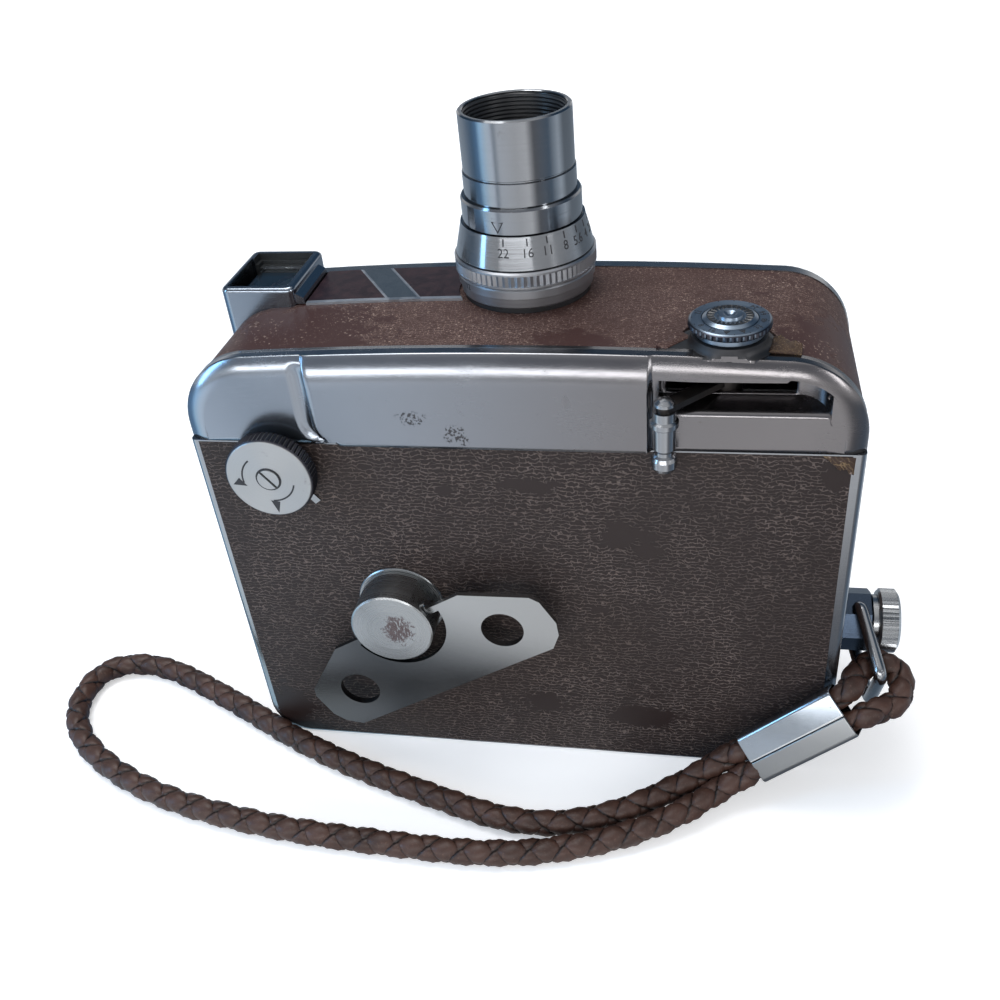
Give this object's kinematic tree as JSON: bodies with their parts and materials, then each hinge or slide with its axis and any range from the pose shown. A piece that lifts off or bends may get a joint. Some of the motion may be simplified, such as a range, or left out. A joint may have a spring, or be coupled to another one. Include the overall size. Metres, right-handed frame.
{
  "type": "movie camera",
  "caption": "Pocket spring-wound movie camera with leather-covered body, lens in a turned barrel, view finder, folding winding key, film door and a braided wrist strap.",
  "frame": {"origin": "centre of the rear face the camera stands on", "axes": "+Z the way the lens looks, +X towards the wrist strap, +Y towards the film door"},
  "size_m": [0.2039, 0.0804, 0.1392],
  "materials": {
    "satin_chrome": "satin plated, fine handling marks",
    "bright_steel": "turned and lightly polished",
    "dark_steel": "blackened",
    "alloy": "die cast, matt inside",
    "black_paint": "black enamel, satin",
    "brown_leather": "grained brown covering, worn",
    "strap_leather": "braided dark brown leather",
    "plate_print": "printed thin plate with a grey band",
    "brass": "turned",
    "clear_glass": "polished",
    "film_base": "wound film"
  },
  "bodies": {
    "camera": {"main_frame": "alloy", "band_leather": "brown_leather", "rear_leather": "brown_leather", "near_cover": "satin_chrome", "near_leather": "brown_leather", "front_cap": "satin_chrome", "index_tab": "bright_steel", "nameplate": "plate_print", "finder_frame": "satin_chrome", "finder_front_glass": "clear_glass", "finder_tube": "black_paint", "finder_eyepiece": "satin_chrome", "eyepiece_glass": "clear_glass", "lens_flange": "black_paint", "base_ring": "bright_steel", "tripod_bush": "brass", "block_washer": "dark_steel", "strap_block": "dark_steel", "strap_ferrule": "satin_chrome", "strap_cord": "strap_leather", "mechanism_plate": "alloy", "plate_screws": "bright_steel", "film_gate": "bright_steel", "pressure_plate": "bright_steel", "supply_spindle": "bright_steel", "takeup_spindle": "bright_steel", "spring_barrel": "bright_steel", "great_gear": "brass", "governor": "brass", "shutter_blade": "dark_steel", "drive_sprocket": "bright_steel"},
    "winding_hub": {"winding_drum": "satin_chrome", "winding_washer": "bright_steel", "winding_arbor": "bright_steel", "hinge_pin": "bright_steel"},
    "winding_key": {"winding_plate": "satin_chrome"},
    "latch": {"latch_knob": "bright_steel", "latch_screw": "bright_steel", "latch_shaft": "bright_steel"},
    "dial": {"speed_dial": "dark_steel", "dial_screw": "bright_steel"},
    "release": {"release_lever": "dark_steel", "lever_handle": "satin_chrome"},
    "focus": {"focus_ring": "bright_steel"},
    "barrel": {"lens_barrel": "bright_steel", "front_barrel": "bright_steel", "front_element": "clear_glass", "rear_element": "clear_glass", "iris_blades": "dark_steel"},
    "aperture": {"aperture_ring": "bright_steel"},
    "screw_travel": {"travel_washer": "bright_steel"},
    "screw": {"strap_screw": "bright_steel"},
    "bail": {"strap_bail": "satin_chrome"},
    "door": {"film_door": "satin_chrome", "door_leather": "brown_leather", "door_keeper": "bright_steel"},
    "supply": {"supply_spool": "black_paint", "supply_film": "film_base"},
    "takeup": {"takeup_spool": "black_paint"}
  },
  "joints": [
    {"name": "winding_turn", "type": "hinge", "parent": "camera", "child": "winding_hub", "pos_m": [-0.027, -0.0221, 0.0441], "axis": [0, -1, 0], "continuous": true},
    {"name": "key_fold", "type": "hinge", "parent": "winding_hub", "child": "winding_key", "pos_m": [-0.027, -0.0279, 0.0441], "axis": [-0.8599, 0, -0.5105], "range_deg": [0, 90]},
    {"name": "latch_turn", "type": "hinge", "parent": "camera", "child": "latch", "pos_m": [-0.0476, -0.0234, 0.0792], "axis": [0, 1, 0], "range_deg": [-65, 0]},
    {"name": "dial_turn", "type": "hinge", "parent": "camera", "child": "dial", "pos_m": [0.04, -0.0135, 0.1061], "axis": [0, 0, 1], "range_deg": [0, 270]},
    {"name": "release_swing", "type": "hinge", "parent": "camera", "child": "release", "pos_m": [0.04, -0.0135, 0.095], "axis": [0, 0, 1], "range_deg": [0, 80], "stiffness_Nm_per_rad": 0.02, "springref_deg": -20.05},
    {"name": "focus_turn", "type": "hinge", "parent": "camera", "child": "focus", "pos_m": [0.0002, 0.00886, 0.1087], "axis": [0, 0, 1], "range_deg": [0, 240]},
    {"name": "barrel_travel", "type": "slide", "parent": "camera", "child": "barrel", "axis": [0, 0, 1], "range_m": [0, 0.0008]},
    {"name": "aperture_turn", "type": "hinge", "parent": "barrel", "child": "aperture", "pos_m": [0.0002, 0.00886, 0.1186], "axis": [0, 0, 1], "range_deg": [0, 110]},
    {"name": "screw_out", "type": "slide", "parent": "camera", "child": "screw_travel", "axis": [1, 0, 0], "range_m": [0, 0.00381]},
    {"name": "screw_turn", "type": "hinge", "parent": "screw_travel", "child": "screw", "pos_m": [0.0744, -0.004, 0.0297], "axis": [1, 0, 0], "range_deg": [0, 1080]},
    {"name": "bail_swing", "type": "hinge", "parent": "camera", "child": "bail", "pos_m": [0.07, -0.004, 0.0297], "axis": [0, -0.454, 0.891], "range_deg": [-24, 32], "deforming": ["strap_cord"]},
    {"name": "door_off", "type": "slide", "parent": "camera", "child": "door", "axis": [0, 1, 0], "range_m": [0, 0.03]},
    {"name": "supply_turn", "type": "hinge", "parent": "camera", "child": "supply", "pos_m": [-0.021, 0.009, 0.04], "axis": [0, 1, 0], "continuous": true},
    {"name": "takeup_turn", "type": "hinge", "parent": "camera", "child": "takeup", "pos_m": [0.035, 0.009, 0.04], "axis": [0, 1, 0], "continuous": true}
  ],
  "couplings": [
    {"joint": "focus_turn", "follows": "barrel_travel", "rad_per_m": 5235.5},
    {"joint": "screw_turn", "follows": "screw_out", "rad_per_m": 4946.9}
  ]
}
